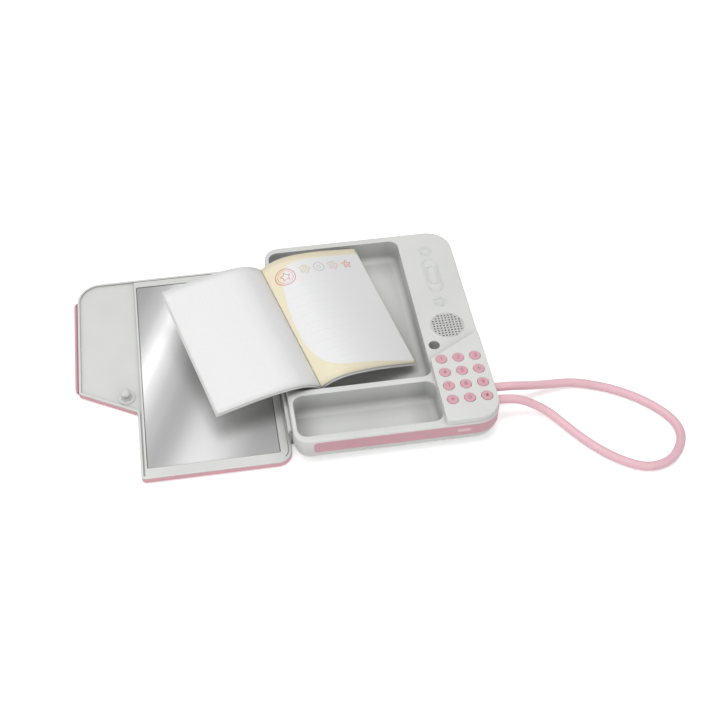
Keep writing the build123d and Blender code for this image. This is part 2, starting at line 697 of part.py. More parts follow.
mirror_x = at_left(-(mirror_free_side + mirror_hinge_side) / 2)
mirror_y = at_front((mirror_front + mirror_back) / 2)
mirror_width = mirror_free_side - mirror_hinge_side
mirror_length = mirror_back - mirror_front
mirror_top = lid_thickness - mirror_depth
mirror_seat = mirror_top - mirror_thickness - mirror_pad_thickness
foot_start = lid_hinge_side - 2 * cover_wall
with BuildPart() as lid_liner:
    with BuildSketch(Plane.XY.offset(cover_floor)):
        add(lid_plan(liner_inset))
    extrude(amount=lid_thickness - cover_floor)
    with BuildSketch(Plane.XY.offset(flange_under)):
        add(lid_plan())
    extrude(amount=rim_height)
    fillet(lid_liner.faces().sort_by(Axis.Z)[-1].outer_wire().edges(), rim_height / 2)
    with BuildSketch(Plane.XY.offset(flange_under)):
        add(lid_plan(groove_inset))
        add(lid_plan(groove_inset + groove_width), mode=Mode.SUBTRACT)
        with Locations((0, at_front(groove_from))):
            Rectangle(4 * body_width, body_depth, align=(Align.CENTER, Align.MIN), mode=Mode.INTERSECT)
    extrude(amount=lid_thickness, mode=Mode.SUBTRACT)
    # recessed flap panel beside the mirror's frame
    with BuildSketch(Plane.XY.offset(flap_floor)) as flap_plan:
        add(lid_plan(rim_width))
        with Locations((at_left(-mirror_free_side) - rim_width, 0)):
            Rectangle(body_width, 2 * (lid_back - flap_back_inset), align=(Align.MAX, Align.CENTER),
                      mode=Mode.INTERSECT)
    extrude(amount=lid_thickness, mode=Mode.SUBTRACT)
    with BuildSketch(Plane.XY.offset(cover_floor)):
        add(flap_plan.sketch)
        offset(amount=-2 * rim_width, mode=Mode.REPLACE)
    extrude(amount=flap_floor - flap_plate - cover_floor, mode=Mode.SUBTRACT)
    with BuildSketch(Plane.XY.offset(mirror_seat)):
        with Locations((mirror_x, mirror_y)):
            RectangleRounded(mirror_width + 2 * mirror_seat_gap, mirror_length + 2 * mirror_seat_gap,
                             mirror_corner + mirror_seat_gap)
    extrude(amount=lid_thickness, mode=Mode.SUBTRACT)
    # hinge arms: a foot out of the liner, a plate up to the axis, a barrel
    with Locations(*[(foot_start, y, cover_floor) for y in arm_centres]):
        Box(arm_start + arm_thickness - foot_start, arm_length, lid_thickness - cover_floor,
            align=(Align.MIN, Align.CENTER, Align.MIN))
    with Locations(*[(arm_start, y, cover_floor) for y in arm_centres]):
        Box(arm_thickness, arm_length, hinge_z - cover_floor, align=(Align.MIN, Align.CENTER, Align.MIN))
    with Locations(*[(hinge_x, y, hinge_z) for y in arm_centres]):
        Cylinder(barrel_radius, arm_length, rotation=(90, 0, 0))
        Cylinder(pin_radius + pin_gap, arm_length, rotation=(90, 0, 0), mode=Mode.SUBTRACT)
lid_liner.part.label = "lid_liner"

with BuildPart() as mirror_pad:
    with BuildSketch(Plane.XY.offset(mirror_seat)):
        with Locations((mirror_x, mirror_y)):
            RectangleRounded(mirror_width - 2 * mirror_corner, mirror_length - 2 * mirror_corner, mirror_corner)
    extrude(amount=mirror_pad_thickness)
mirror_pad.part.label = "mirror_pad"

with BuildPart() as mirror:
    with BuildSketch(Plane.XY.offset(mirror_seat + mirror_pad_thickness)):
        with Locations((mirror_x, mirror_y)):
            RectangleRounded(mirror_width, mirror_length, mirror_corner)
    extrude(amount=mirror_thickness)
    chamfer(mirror.faces().sort_by(Axis.Z)[-1].edges(), mirror_thickness / 3)
mirror.part.label = "mirror"

with BuildPart() as latch_post:
    with BuildSketch(Plane.XZ):
        with BuildLine():
            Polyline((0, 0), (post_foot_radius, 0), (post_foot_radius, post_foot_height),
                     (post_radius, post_foot_height), (post_radius, post_neck_start),
                     (post_neck_radius, post_neck_start), (post_neck_radius, post_neck_end),
                     (post_radius, post_neck_end), (post_radius, post_height - post_round),
                     (post_radius - post_round, post_height), (0, post_height), close=True)
        make_face()
    revolve(axis=Axis.Z)
    fillet(latch_post.edges().sort_by(Axis.Z)[-3:], post_round / 2)
latch_post_placed = latch_post.part.moved(Location((2 * hinge_x - latch_x, latch_y, flap_floor)))
latch_post_placed.label = "latch_post"

with BuildPart() as hinge_pin:
    with Locations((hinge_x, 0, hinge_z)):
        Cylinder(pin_radius, pin_length, rotation=(90, 0, 0))
hinge_pin.part.label = "hinge_pin"

# --------------------------------------------------------------- notebook
yaw = radians(spine_yaw)
pitch = radians(spine_pitch)
roll = radians(spine_roll)
along = Vector(-sin(yaw) * cos(pitch), cos(yaw) * cos(pitch), sin(pitch))
level = Vector(cos(yaw), sin(yaw), 0)
across = level * cos(roll) - level.cross(along) * sin(roll)
spine_start = Vector(spine_x, spine_y, spine_z)


def leaf_slab(side, top, thickness, overhang):
    """Leaves or card of one half: an arched slab along the gutter."""
    section = Plane(origin=spine_start - along * overhang, x_dir=across, z_dir=-along)
    upper = [(side * gutter_gap, -top)]
    upper += [(side * share * page_width, rise - top) for share, rise in leaf_rise]
    upper += [(side * page_width, -top)]
    lower = [(x, height - thickness) for x, height in upper]
    edge = side * (page_width + max(overhang, seam))
    with BuildPart() as slab:
        with BuildSketch(section):
            with BuildLine():
                Spline(*upper)
                Polyline(upper[-1], (edge, -top), (edge, -top - thickness), lower[-1])
                Spline(*reversed(lower))
                Line(lower[0], upper[0])
            make_face()
        extrude(amount=-(page_length + 2 * overhang))
    return slab.part


front_pages = leaf_slab(-1, 0, page_thickness, 0)
front_pages.label = "notebook_front_pages"
front_card = leaf_slab(-1, page_thickness + seam, card_thickness, card_overhang)
front_card.label = "notebook_front_cover"
back_pages = leaf_slab(1, 0, page_thickness, 0)
back_pages.label = "notebook_back_pages"
back_card = leaf_slab(1, page_thickness + seam, card_thickness, card_overhang)
back_card.label = "notebook_back_cover"

# ------------------------------------------------------------- wrist loop
with BuildPart() as cord_ports:
    with BuildSketch(Plane.YZ.offset(right - skirt_wall - port_flange)):
        with Locations(*port_places):
            Circle(port_flange_radius)
    extrude(amount=port_flange)
    with BuildSketch(Plane.YZ.offset(right - skirt_wall)):
        with Locations(*port_places):
            Circle(port_radius)
    extrude(amount=skirt_wall + port_proud)
cord_ports.part.label = "cord_ports"

cord_start = Vector(right + port_proud, cord_ports_y[0], cord_exit_z)
cord_end = Vector(right + port_proud, cord_ports_y[1], cord_exit_z)
cord_points = [cord_start] + [Vector(right + x, at_front(y), z) for x, y, z in cord_turns] + [cord_end]
cord_radii = []
for before, here, after in zip(cord_points, cord_points[1:], cord_points[2:]):
    run_in = here - before
    run_out = after - here
    turn = radians(run_in.get_angle(run_out))
    cord_radii.append(cord_arc_share * min(run_in.length, run_out.length) / tan(turn / 2))
with BuildPart() as wrist_cord:
    with BuildLine() as cord_route:
        FilletPolyline(*cord_points, radius=cord_radii)
    with BuildSketch(Plane(origin=cord_start, z_dir=(1, 0, 0))):
        Circle(cord_diameter / 2)
    sweep()
wrist_cord.part.label = "wrist_cord"
cord_length = sum(edge.length for edge in cord_route.edges())
print("cord length", round(cord_length, 1), "least arc", round(min(cord_radii), 1))
print("cord volume", round(wrist_cord.part.volume, 1), "section by length",
      round(cord_length * pi * (cord_diameter / 2) ** 2, 1))

for shape in [base_shell.part, top_casing.part, side_band.part, keypad_panel.part, *keys, key_mat.part,
              main_board.part, controller_chip.part, microphone.part, battery_cells.part,
              battery_contacts.part, battery_door.part, case_screws.part, battery_door_screw.part,
              speaker_grille.part, speaker_placed, latch_bolt.part, solenoid.part, lid_cover.part,
              lid_liner.part, mirror_pad.part, mirror.part, latch_post_placed, hinge_pin.part,
              front_pages, front_card, back_pages, back_card, cord_ports.part, wrist_cord.part]:
    export_step(shape, "parts/" + shape.label + ".step")

print("notebook over the casing", round(front_card.distance_to(top_casing.part), 2),
      round(back_card.distance_to(top_casing.part), 2))
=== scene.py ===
import math
import bpy
import numpy as np
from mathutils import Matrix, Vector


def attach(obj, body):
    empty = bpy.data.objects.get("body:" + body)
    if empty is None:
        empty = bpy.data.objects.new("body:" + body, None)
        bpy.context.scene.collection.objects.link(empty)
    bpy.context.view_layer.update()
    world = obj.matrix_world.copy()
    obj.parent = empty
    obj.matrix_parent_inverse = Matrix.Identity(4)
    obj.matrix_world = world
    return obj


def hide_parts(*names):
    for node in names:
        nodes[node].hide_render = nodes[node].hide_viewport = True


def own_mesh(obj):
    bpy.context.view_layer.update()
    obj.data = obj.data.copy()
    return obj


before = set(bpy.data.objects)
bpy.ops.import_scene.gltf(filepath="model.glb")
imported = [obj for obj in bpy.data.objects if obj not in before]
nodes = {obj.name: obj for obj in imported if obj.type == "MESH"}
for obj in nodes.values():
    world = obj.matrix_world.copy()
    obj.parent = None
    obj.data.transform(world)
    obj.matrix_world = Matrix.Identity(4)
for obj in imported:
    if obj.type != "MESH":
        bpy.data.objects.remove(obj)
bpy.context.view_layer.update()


# ---------------------------------------------------------------- camera
# The eye stands in front and high up, 49 degrees above the table and
# turned a little towards the lid; a small shift keeps the crop.
MM = 0.001
CORNER = np.array([-71.5, -94.0, 0.0])  # front left corner of the casing, in mm
AZIMUTH, ELEVATION, DISTANCE = math.radians(-8.7), math.radians(49.2), 0.8579


def from_corner(points):
    """Places in mm from the casing's front left corner, in metres."""
    return (np.asarray(points, float) + CORNER) * MM


def at(x, y, z):
    """One place counted from that corner."""
    return from_corner((x, y, z))


def aim(obj, place, target):
    """Puts a camera or lamp at a place and turns it to the target."""
    sight = Vector(target) - Vector(place)
    obj.location = place
    obj.rotation_mode = "QUATERNION"
    obj.rotation_quaternion = sight.to_track_quat("-Z", "Y")


target = at(37.6, 89.7, 0)
eye = target + DISTANCE * np.array([math.sin(AZIMUTH) * math.cos(ELEVATION),
                                    -math.cos(AZIMUTH) * math.cos(ELEVATION), math.sin(ELEVATION)])
camera = bpy.data.objects.new("camera", bpy.data.cameras.new("camera"))
bpy.context.scene.collection.objects.link(camera)
camera.data.sensor_width = 36
camera.data.lens = 58.73
camera.data.shift_x = 0.0404
camera.data.dof.use_dof = False
camera.data.clip_start = 0.01
aim(camera, eye, target)
bpy.context.scene.camera = camera
bpy.context.scene.view_settings.view_transform = "Standard"


# ---------------------------------------------------------------- casing
# A grey-white moulding with two sunk compartments stands on a base of its
# own plastic, with a pink band let into its wall. Every moulding has a
# fine grain, a slow drift of tone, rubbed edges and an uneven gloss.
# Shade is painted into the colour in the casing's compartments and the lid's tray.
DRIFT = 0.05                    # slow change of tone over a moulding
UNEVEN = 0.06                   # how far the gloss strays either way
GRAIN_DEPTH = 0.00006           # height of the grain, in metres, as all lengths here
WEAR_RADIUS = 0.0006            # reach of the rubbed edges
WEAR_PATCHES = 260              # fineness of the patches that the wear comes in
WORN_PALER = 0.35               # how far a rubbed edge goes towards white
SHADE_REACH = 0.022             # how far off a wall painted shade still darkens a recess
SHADE_DARK = 0.04               # what full painted shade leaves of the colour
DECK_SIDE = (0.0318, 0.0335)    # X where the compartments end and the deck begins; painted shade is held back past it
DECK_OPEN = 0.72                # how unshaded the deck counts at least, which holds back painted shade there
CREASE_FADE = (0.0016, 0.0004)  # how far off a crease its painted shade begins, and is full
PAINTED_CREASE_SHADE = 0.1               # what painted crease shade leaves of the colour


def rgb(r, g, b):
    """A colour as seen on screen, turned into scene-linear light."""
    seen = (r / 255, g / 255, b / 255)
    linear = [c / 12.92 if c <= 0.04045 else ((c + 0.055) / 1.055) ** 2.4 for c in seen]
    return (*linear, 1.0)


def scaled(colour, share):
    """The colour times a share, white at the most."""
    return tuple([min(1.0, c * share) for c in colour[:3]] + [1.0])


def paler(colour, share):
    """The colour moved towards white by a share of the way."""
    return tuple([c + (1 - c) * share for c in colour[:3]] + [1.0])


def set_inputs(node, values):
    """Sets several sockets of a node by name."""
    for label, value in values.items():
        node.inputs[label].default_value = value


def place_of(tree, kind="Object"):
    """Where the surface is, or which way it looks, in the object's frame."""
    return tree.nodes.new("ShaderNodeTexCoord").outputs[kind]


def part_of(tree, vector, axis):
    """One component of a vector."""
    node = tree.nodes.new("ShaderNodeSeparateXYZ")
    tree.links.new(vector, node.inputs[0])
    return node.outputs[axis]


def dot(tree, a, b):
    """Dot product of a vector with another or with a fixed one."""
    node = tree.nodes.new("ShaderNodeVectorMath")
    node.operation = "DOT_PRODUCT"
    tree.links.new(a, node.inputs[0])
    if isinstance(b, tuple):
        node.inputs[1].default_value = b
    else:
        tree.links.new(b, node.inputs[1])
    return node.outputs["Value"]


def combine(tree, operation, a, b=None):
    """One step of arithmetic over values or fixed numbers."""
    node = tree.nodes.new("ShaderNodeMath")
    node.operation = operation
    for socket, value in zip(node.inputs, (a, b)):
        if isinstance(value, float):
            socket.default_value = value
        elif value is not None:
            tree.links.new(value, socket)
    return node.outputs[0]


def noise(tree, scale, detail=3.0, rough=0.5, vector=None):
    """A noise value over the object's own coordinates."""
    node = tree.nodes.new("ShaderNodeTexNoise")
    set_inputs(node, {"Scale": scale, "Detail": detail, "Roughness": rough})
    tree.links.new(vector or place_of(tree), node.inputs["Vector"])
    return node.outputs["Fac"]


def ramp(tree, source, low, high, to_low=0.0, to_high=1.0):
    """Maps a value from one span to another and clamps it."""
    node = tree.nodes.new("ShaderNodeMapRange")
    set_inputs(node, {"From Min": low, "From Max": high, "To Min": to_low, "To Max": to_high})
    tree.links.new(source, node.inputs["Value"])
    return node.outputs["Result"]


def mix(tree, factor, a, b):
    """Mixes two colours, each a socket or a fixed colour."""
    node = tree.nodes.new("ShaderNodeMix")
    node.data_type = "RGBA"
    tree.links.new(factor, node.inputs[0])
    for socket, colour in ((node.inputs[6], a), (node.inputs[7], b)):
        if isinstance(colour, tuple):
            socket.default_value = colour
        else:
            tree.links.new(colour, socket)
    return node.outputs[2]


def bump(tree, height, strength, distance):
    """A bump normal from a height."""
    node = tree.nodes.new("ShaderNodeBump")
    set_inputs(node, {"Strength": strength, "Distance": distance})
    tree.links.new(height, node.inputs["Height"])
    return node.outputs["Normal"]


def value_group(name, labels, build):
    """A node group that gives only values, made once."""
    group = bpy.data.node_groups.new(name, "ShaderNodeTree")
    for label in labels:
        group.interface.new_socket(label, in_out="OUTPUT", socket_type="NodeSocketFloat")
    build(group, group.nodes.new("NodeGroupOutput"))
    return group


def build_wear_and_shade_masks(group, out):
    """Worn: how far the bevelled normal leans from the plain one, in patches.
    Open: 1 where nothing shades the surface, less in a recess; it sets painted shade."""
    bevel = group.nodes.new("ShaderNodeBevel")
    bevel.samples = 6
    set_inputs(bevel, {"Radius": WEAR_RADIUS})
    plain = group.nodes.new("ShaderNodeNewGeometry").outputs["Normal"]
    lean = ramp(group, dot(group, bevel.outputs["Normal"], plain), 0.995, 0.90)
    patchy = ramp(group, noise(group, WEAR_PATCHES), 0.42, 0.62)
    group.links.new(combine(group, "MULTIPLY", lean, patchy), out.inputs["Worn"])
    shade = group.nodes.new("ShaderNodeAmbientOcclusion")
    shade.samples = 8
    set_inputs(shade, {"Distance": SHADE_REACH})
    group.links.new(ramp(group, shade.outputs["AO"], 0.15, 1.0, 0.33, 1.0), out.inputs["Open"])


WEAR_AND_SHADE_MASKS = value_group("wear and painted shade masks", ("Worn", "Open"), build_wear_and_shade_masks)


def blank(name):
    """A new material with its own Principled shader."""
    material = bpy.data.materials.new(name)
    material.use_nodes = True
    return material, material.node_tree, material.node_tree.nodes["Principled BSDF"]


def plastic(name, colour, rough=0.42, grain=0.25, grain_size=2600, coat=0.0, wear=0.5,
            painted_recess_shade=False, crease=None):
    """Moulded plastic: colour, base gloss, strength and fineness of grain.
    With painted recess shade, the colour is darkened where the walls shade
    each other, as far as the compartments reach. A crease is a plane of X
    along which shade is painted, within a millimetre or two of it."""
    material, tree, shader = blank(name)
    masks = tree.nodes.new("ShaderNodeGroup")
    masks.node_tree = WEAR_AND_SHADE_MASKS
    slow = ramp(tree, noise(tree, 22, 2), 0.3, 0.7)
    tone = mix(tree, slow, scaled(colour, 1 - DRIFT), scaled(colour, 1 + 0.6 * DRIFT))
    worn = combine(tree, "MULTIPLY", masks.outputs["Worn"], wear)
    tone = mix(tree, worn, tone, paler(colour, WORN_PALER))
    # painted shade: ambient occlusion darkens the colour in recesses, held back over the deck
    if painted_recess_shade:
        deck = ramp(tree, part_of(tree, place_of(tree), "X"), *DECK_SIDE, 0.0, DECK_OPEN)
        lit = combine(tree, "MAXIMUM", masks.outputs["Open"], deck)
        tone = mix(tree, lit, scaled(colour, SHADE_DARK), tone)
    # painted shade: a dark band along the crease
    if crease is not None:
        offset = combine(tree, "SUBTRACT", part_of(tree, place_of(tree), "X"), crease)
        shade = ramp(tree, combine(tree, "ABSOLUTE", offset), *CREASE_FADE, 0.0, 0.7)
        tone = mix(tree, shade, tone, scaled(colour, PAINTED_CREASE_SHADE))
    tree.links.new(tone, shader.inputs["Base Color"])
    smudge = ramp(tree, noise(tree, 60, 4), 0.35, 0.65, rough - UNEVEN, rough + UNEVEN)
    tree.links.new(smudge, shader.inputs["Roughness"])
    fine = bump(tree, noise(tree, grain_size, 2), grain, GRAIN_DEPTH)
    tree.links.new(fine, shader.inputs["Normal"])
    set_inputs(shader, {"IOR": 1.46, "Coat Weight": coat, "Coat Roughness": 0.2, "Subsurface Weight": 0.04,
                        "Subsurface Radius": (0.0012, 0.0008, 0.0006), "Subsurface Scale": 0.5})
    return material


def dress(material, *names):
    """Gives CAD pieces their material."""
    for name in names:
        nodes[name].data.materials.clear()
        nodes[name].data.materials.append(material)


# The casing's moulding has shade painted into its compartments.
SHADED_MOULDING = plastic("casing moulding with painted shade", rgb(222, 223, 220), painted_recess_shade=True)
BASE = plastic("base plastic", rgb(214, 215, 212), rough=0.48)
BAND = plastic("band plastic", rgb(213, 163, 172), rough=0.4)
dress(SHADED_MOULDING, "top_casing")
dress(BASE, "base_shell", "battery_door")
dress(BAND, "side_band")


# ---------------------------------------------------------- deck reliefs
# Low raised outlines are moulded into the deck over the speaker: a long
# capsule in a capsule, with a small flower above and below. Each is a
# half-round bead along its outline.
DECK = 23.6       # height of the deck over the table
BEAD_ROOT = 0.15  # how far the bead's half circle goes on under the deck, in radians
BEAD_WIDTH, BEAD_HEIGHT = 0.85, 0.55
CAPSULE_MIDDLE, FLOWER_X, FLOWER_RADIUS = (122.6, 141.6), 122.2, 4.6


def into_scene(name, mesh_or_curve, body=None, material=None):
    """Links new data as an object, gives it its finish and its body."""
    obj = bpy.data.objects.new(name, mesh_or_curve)
    bpy.context.scene.collection.objects.link(obj)
    if material:
        mesh_or_curve.materials.append(material)
    if body:
        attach(obj, body)
    return obj


def new_mesh(name, points, faces):
    """A mesh from points and from faces, each a list of point numbers."""
    mesh = bpy.data.meshes.new(name)
    mesh.from_pydata(np.reshape(points, (-1, 3)).tolist(), [], faces)
    return mesh


def cells(rows, columns, first=0):
    """The quads between neighbours in a grid of points, which are numbered
    row by row from first."""
    index = first + np.arange(rows * columns).reshape(rows, columns)
    return np.stack([index[:-1, :-1], index[1:, :-1], index[1:, 1:], index[:-1, 1:]], -1).reshape(-1, 4)


def grid_mesh(name, points, material):
    """A smooth mesh over a grid of points, (rows, columns, 3)."""
    mesh = new_mesh(name, points, cells(*points.shape[:2]).tolist())
    mesh.materials.append(material)
    mesh.polygons.foreach_set("use_smooth", [True] * len(mesh.polygons))
    return mesh


def arc(x, y, rx, ry, start, end, count=14):
    """Points on part of an ellipse: centre, both radii, and the angles in
    degrees at which it starts and ends."""
    angle = np.radians(np.linspace(start, end, count))
    return np.stack([x + rx * np.cos(angle), y + ry * np.sin(angle)], -1)


def capsule(x, y, half_width, half_length):
    """Outline of a capsule standing along Y: two half circles."""
    middle = half_length - half_width
    top = arc(x, y + middle, half_width, half_width, 0, 180, 18)
    bottom = arc(x, y - middle, half_width, half_width, 180, 360, 18)
    return np.vstack([top, bottom])


def petals(x, y, r):
    """A flower outline: the radius swells five times round."""
    angle = np.linspace(0, 2 * np.pi, 50)
    radius = r * (0.82 + 0.18 * np.cos(5 * angle))
    return np.stack([x + radius * np.cos(angle), y + radius * np.sin(angle)], -1)


def square_to(tangent):
    """Unit vectors a quarter turn to the left of each tangent."""
    length = np.linalg.norm(tangent, axis=1, keepdims=True)
    unit = tangent / np.maximum(length, 1e-9)
    return np.stack([-unit[:, 1], unit[:, 0]], -1)


def bead(outline):
    """A half-round bead along a closed outline on the deck: cosine and
    sine of one angle give the place across it and the height."""
    normal = square_to(np.roll(outline, -1, 0) - np.roll(outline, 1, 0))
    angle = np.linspace(-BEAD_ROOT, np.pi + BEAD_ROOT, 9)
    offset = np.cos(angle) * BEAD_WIDTH / 2
    rise = np.sin(angle) * BEAD_HEIGHT
    xy = outline[:, None, :] + normal[:, None, :] * offset[None, :, None]
    z = (DECK + rise)[None, :, None] * np.ones((len(outline), 1, 1))
    rows = np.concatenate([xy, z], -1)
    return from_corner(np.concatenate([rows, rows[:1]]))


GREY = plastic("casing plastic", rgb(222, 223, 220))
RELIEFS = [("capsule_mark", capsule(*CAPSULE_MIDDLE, 5.2, 16.9)),
           ("capsule_inner_mark", capsule(*CAPSULE_MIDDLE, 3.3, 9.0)),
           ("upper_mark", petals(FLOWER_X, 167.4, FLOWER_RADIUS)[:-1]),
           ("lower_mark", petals(FLOWER_X, 113.6, FLOWER_RADIUS)[:-1])]
for name, outline in RELIEFS:
    into_scene(name, grid_mesh(name, bead(outline), GREY), "casing")


# ------------------------------------------------------------ sound slot
# A pale gauze plate with round ends fills the slot in the front of the
# band, before the microphone. It is let in with its rim eased.
GAUZE = plastic("microphone gauze", rgb(236, 196, 203), rough=0.7, wear=0.0)
PLATE_MIDDLE, PLATE_REACH = (115.2, 0.0, 16.75), (4.7, 1.6)  # its middle, half length, half height
PLATE_RINGS = ((0.0, -0.05), (0.0, 0.12), (0.22, 0.24))  # drawn in by, and proud of the wall by


def plate(name, place, half_length, half_height, material):
    """A thin plate with round ends on the front wall: capsule outlines one
    over another, the last drawn in a little and closed by a fan."""
    rings = []
    for inset, proud in PLATE_RINGS:
        outline = capsule(0, 0, half_height - inset, half_length - inset)[::-1]
        rings.append(np.stack([outline[:, 1], np.full(len(outline), -proud), outline[:, 0]], -1))
    n = len(rings[0])
    here = np.arange(n)
    after = np.roll(here, -1)
    wall = np.vstack([np.stack([here, after, after + n, here + n], -1) + n * k for k in (0, 1)])
    fan = np.stack([here + 2 * n, after + 2 * n, np.full(n, 3 * n)], -1)
    points = np.vstack([*rings, [[0, -PLATE_RINGS[-1][1], 0]]]) + np.array(place)
    mesh = new_mesh(name, from_corner(points), wall.tolist() + fan.tolist())
    into_scene(name, mesh, "casing", material)


plate("sound_gauze", PLATE_MIDDLE, *PLATE_REACH, GAUZE)


# --------------------------------------------------------------- insides
# Under the deck stand the board with its chip, the speaker below a round
# pierced grille, the microphone, two sleeved cells between bare metal
# contacts, and the solenoid that draws the latch's bolt.
def metal(name, colour, rough):
    """Bare metal with fine drawn lines."""
    material, tree, shader = blank(name)
    set_inputs(shader, {"Base Color": colour, "Metallic": 1.0})
    lines = noise(tree, 900, 2)
    tree.links.new(ramp(tree, lines, 0.3, 0.7, rough - 0.08, rough + 0.1), shader.inputs["Roughness"])
    tree.links.new(bump(tree, lines, 0.15, 0.00003), shader.inputs["Normal"])
    return material


STEEL = metal("screw steel", rgb(168, 168, 172), 0.28)
dress(plastic("grille plastic", rgb(203, 203, 201), rough=0.5), "speaker_grille")
dress(plastic("speaker cone", rgb(205, 205, 205), rough=0.6), "speaker")
dress(plastic("board lacquer", rgb(28, 92, 56), rough=0.3, wear=0.1), "main_board")
dress(plastic("dark plastic", rgb(36, 36, 38), rough=0.5, wear=0.2), "controller_chip")
dress(plastic("cell sleeve", rgb(70, 92, 132), rough=0.3, wear=0.2), "battery_cells")
dress(metal("bare metal", rgb(190, 190, 192), 0.3), "battery_contacts", "solenoid", "latch_bolt")
dress(GAUZE, "microphone")
dress(STEEL, "battery_door_screw", "case_screws")


# ---------------------------------------------------------------- keypad
# Twelve separate pink keys stand in a raised grey-white panel, on pads of
# a rubber mat. Their plain figures are thin flat ribbons on the key tops.
KEY_FIRST, KEY_PITCH, KEY_TOP = np.array([110.5, 55.1]), np.array([12.0, -12.2]), 28.4
FIGURE_SCALE, FIGURE_STROKE, FIGURE_LIFT = 0.95, 0.5, 0.03
KEYS = plastic("key plastic", rgb(218, 165, 176), rough=0.36, coat=0.1)
RUBBER = plastic("mat rubber", rgb(96, 96, 98), rough=0.7, wear=0.1)
dress(GREY, "keypad_panel")
dress(RUBBER, "key_mat")


def ink(name, colour):
    """Printed ink, a little uneven."""
    material, tree, shader = blank(name)
    thin = ramp(tree, noise(tree, 1600), 0.3, 0.7)
    tree.links.new(mix(tree, thin, colour, paler(colour, 0.2)), shader.inputs["Base Color"])
    set_inputs(shader, {"Roughness": 0.6})
    return material


def line(*points):
    """A polyline with extra points near each corner, so it mitres well."""
    p = np.asarray(points, float)
    return np.vstack([a + (b - a) * t for a, b in zip(p[:-1], p[1:]) for t in (0.0, 0.02, 0.98)] + [p[-1]])


def ribbon(points, width):
    """Both sides of a ribbon along a line: each of its points moved half
    the width to either side, square to the line there."""
    reach = square_to(np.gradient(points, axis=0)) * width / 2
    return np.stack([points - reach, points + reach], 1)


def ribbon_mesh(name, strips):
    """One mesh over several ribbons, each (rows, 2, 3)."""
    first = np.cumsum([0] + [2 * len(strip) for strip in strips])
    faces = np.vstack([cells(len(strip), 2, start) for strip, start in zip(strips, first)])
    return new_mesh(name, np.vstack([strip.reshape(-1, 3) for strip in strips]), faces.tolist())


# strokes of each figure about the middle of its key, in mm; the keys run
# from the back row to the front and from left to right
FIGURES = {
    "1": [line((-0.6, 0.9), (0.1, 1.5), (0.1, -1.5))],
    "2": [np.vstack([arc(0, 0.7, 0.8, 0.8, 170, -40), line((0.5, 0.1), (-0.85, -1.5), (0.95, -1.5))])],
    "3": [arc(0, 0.72, 0.78, 0.78, 150, -90), arc(0, -0.78, 0.85, 0.78, 90, -150)],
    "4": [line((0.4, -1.5), (0.4, 1.5), (-0.95, -0.6), (0.95, -0.6))],
    "5": [line((0.8, 1.5), (-0.6, 1.5), (-0.7, 0.1)), arc(-0.05, -0.55, 0.9, 0.95, 135, -150)],
    "6": [arc(0, -0.6, 0.85, 0.9, 0, 360, 24), arc(0.75, -0.3, 1.6, 1.8, 100, 180)],
    "7": [line((-0.85, 1.5), (0.85, 1.5), (-0.25, -1.5))],
    "8": [arc(0, 0.75, 0.7, 0.75, 0, 360, 22), arc(0, -0.75, 0.88, 0.75, 0, 360, 24)],
    "9": [arc(0, 0.6, 0.85, 0.9, 0, 360, 24), arc(-0.75, 0.3, 1.6, 1.8, -80, 0)],
    "star": [line((0, 1.1), (0, -1.1)), line((-0.95, 0.55), (0.95, -0.55)),
             line((-0.95, -0.55), (0.95, 0.55))],
    "0": [arc(0, 0, 0.85, 1.5, 0, 360, 28)],
    "hash": [line((-0.35, 1.3), (-0.35, -1.3)), line((0.35, 1.3), (0.35, -1.3)),
             line((-1.0, 0.42), (1.0, 0.42)), line((-1.0, -0.42), (1.0, -0.42))],
}
FIGURE_INK = ink("figure ink", rgb(158, 98, 112))
for k, (label, strokes) in enumerate(FIGURES.items()):
    row, column = divmod(k, 3)
    middle = KEY_FIRST + KEY_PITCH * (column, row)
    strips = []
    for points in strokes:
        sides = ribbon(points * FIGURE_SCALE, FIGURE_STROKE) + middle
        height = np.full((len(points), 2, 1), KEY_TOP + FIGURE_LIFT)
        strips.append(from_corner(np.concatenate([sides, height], -1)))
    figure = ribbon_mesh("figure " + label, strips)
    dress(KEYS, "key_" + label)
    into_scene("figure_" + label, figure, "key_" + label + "_body", FIGURE_INK)


# ------------------------------------------------------------------- lid
# A pink shell and a grey-white tray hold a large mirror on a pad, and the
# latch's post. The lid turns on a steel pin through its arms.
LIP_CREASE = -0.2156            # X of the crease beside the finger lip, where shade is painted
SLANT = (0.9103, -0.4139, 0.0)  # the painted reflection changes along this line
# places along that line, in metres, and the tone of the painted reflection at each
REFLECTION_BANDS = [(-0.190, 0.35), (-0.177, 0.41), (-0.165, 0.57), (-0.158, 0.82), (-0.152, 0.98), (-0.146, 0.79),
         (-0.137, 0.55), (-0.127, 0.42), (-0.118, 0.37), (-0.109, 0.45), (-0.100, 0.60), (-0.085, 0.65),
         (-0.072, 0.56), (-0.060, 0.40), (-0.045, 0.34)]


